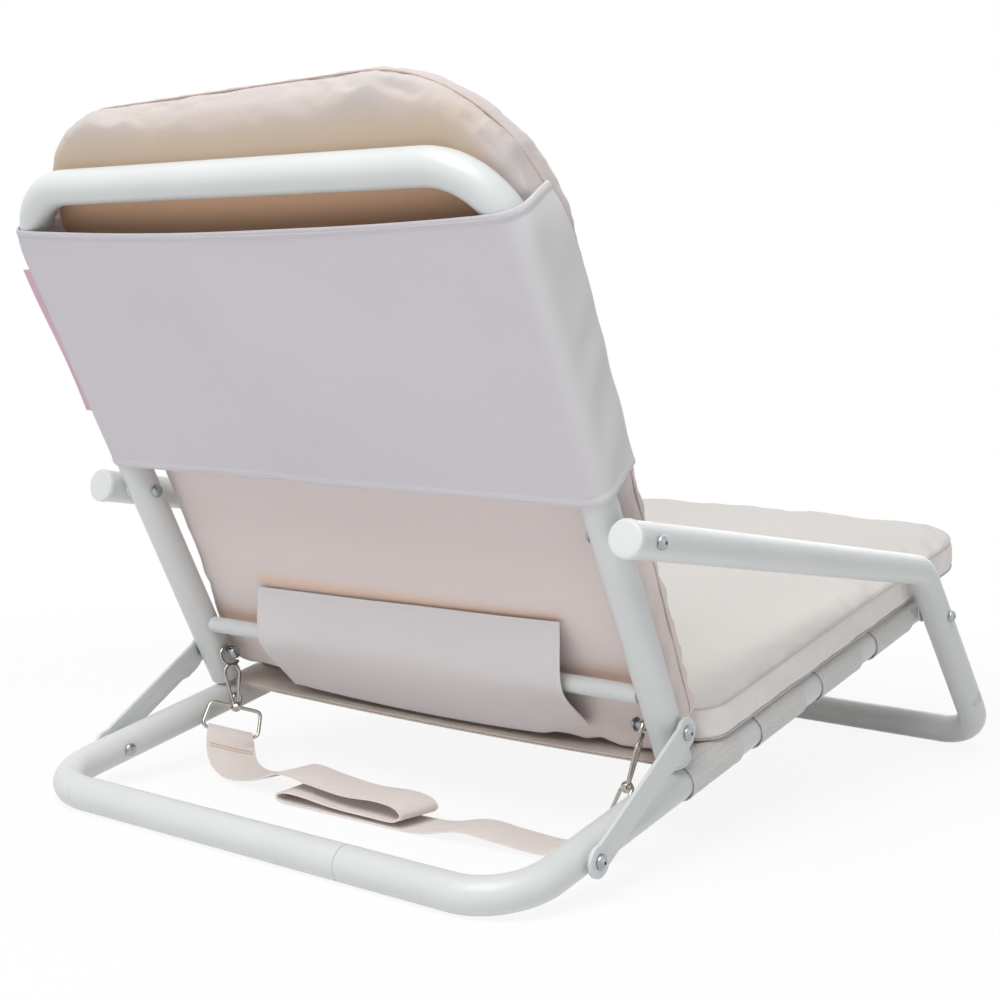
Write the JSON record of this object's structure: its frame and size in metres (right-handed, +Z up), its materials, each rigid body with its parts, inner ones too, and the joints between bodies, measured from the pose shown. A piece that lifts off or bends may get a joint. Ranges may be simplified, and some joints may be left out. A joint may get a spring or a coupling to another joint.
{
  "type": "folding low chair",
  "caption": "Low folding beach chair with bent-tube frame, padded seat and back, slung mesh bands, flat fold links and a clip-on carry strap.",
  "frame": {"origin": "middle of the bounding box, on the floor", "axes": "+Z up, the sitter faces -Y, +X towards the sitter's left"},
  "size_m": [0.5298, 0.726, 0.516],
  "materials": {
    "white_paint": "satin white paint on bent steel tube",
    "white_plastic": "white moulded plastic",
    "zinc": "bright zinc plate",
    "nickel": "bright nickel plate",
    "mesh_cloth": "taupe open-weave sling mesh",
    "cover_cloth": "pale peach-white padded canvas",
    "strap_cloth": "pale peach woven webbing",
    "tag_cloth": "pale pink ribbon tag"
  },
  "bodies": {
    "seat": {"base_tube_left": "white_paint", "base_tube_right": "white_paint", "rail_plug_left": "white_plastic", "rail_plug_right": "white_plastic", "band_screw_left": "zinc", "band_screw_right": "zinc", "link_foot_bolt_left": "zinc", "link_foot_bolt_right": "zinc", "link_washer_left": "white_plastic", "link_washer_right": "white_plastic", "base_spigot": "zinc", "seat_band_1": "mesh_cloth", "seat_band_2": "mesh_cloth", "seat_band_3": "mesh_cloth", "seat_band_4": "mesh_cloth", "seat_cushion": "cover_cloth"},
    "arms": {"arm_tube": "white_paint", "arm_cap_left": "white_plastic", "arm_cap_right": "white_plastic", "arm_bolt_left": "zinc", "arm_bolt_right": "zinc", "leg_pivot_bolt_left": "zinc", "leg_pivot_bolt_right": "zinc", "leg_washer_left": "white_plastic", "leg_washer_right": "white_plastic", "arm_washer_left": "white_plastic", "arm_washer_right": "white_plastic"},
    "links": {"fold_link_left": "white_paint", "fold_link_right": "white_paint"},
    "back": {"back_tube": "white_paint", "back_crossbar": "white_paint", "back_cushion": "cover_cloth", "back_panel": "cover_cloth", "back_flap": "cover_cloth", "side_tag": "tag_cloth", "upright_plug_left": "white_plastic", "upright_plug_right": "white_plastic", "back_bolt_left": "zinc", "back_bolt_right": "zinc", "link_head_bolt_left": "zinc", "link_head_bolt_right": "zinc"},
    "strap": {"snap_hook_left": "nickel", "snap_hook_right": "nickel", "strap_loop_left": "nickel", "strap_loop_right": "nickel", "carry_strap": "strap_cloth"},
    "gate_left": {"hook_gate_left": "nickel"},
    "gate_right": {"hook_gate_right": "nickel"}
  },
  "joints": [
    {"name": "back_fold", "type": "hinge", "parent": "links", "child": "back", "pos_m": [0, 0.14942, 0.09396], "axis": [1, 0, 0], "range_deg": [0, 224.15]},
    {"name": "link_swing", "type": "hinge", "parent": "seat", "child": "links", "pos_m": [0, 0.25033, 0.02793], "axis": [-1, 0, 0], "range_deg": [0, 136.05]},
    {"name": "arm_swing", "type": "hinge", "parent": "seat", "child": "arms", "pos_m": [0, -0.24033, 0.13401], "axis": [-1, 0, 0], "range_deg": [0, 12.3]},
    {"name": "strap_swing", "type": "hinge", "parent": "back", "child": "strap", "pos_m": [0, 0.14942, 0.09396], "axis": [-1, 0, 0], "range_deg": [0, 28.05]},
    {"name": "gate_left_open", "type": "hinge", "parent": "strap", "child": "gate_left", "pos_m": [0.20052, 0.14316, 0.08834], "axis": [-0.9135, 0.3325, 0.2346], "range_deg": [0, 12], "stiffness_Nm_per_rad": 0.01},
    {"name": "gate_right_open", "type": "hinge", "parent": "strap", "child": "gate_right", "pos_m": [-0.20052, 0.14316, 0.08834], "axis": [-0.9135, -0.3325, -0.2346], "range_deg": [0, 12], "stiffness_Nm_per_rad": 0.01}
  ],
  "couplings": [
    {"joint": "link_swing", "follows": "back_fold", "ratio": 0.60674},
    {"joint": "arm_swing", "follows": "back_fold", "ratio": 0.054696},
    {"joint": "strap_swing", "follows": "back_fold", "ratio": 0.12492}
  ]
}
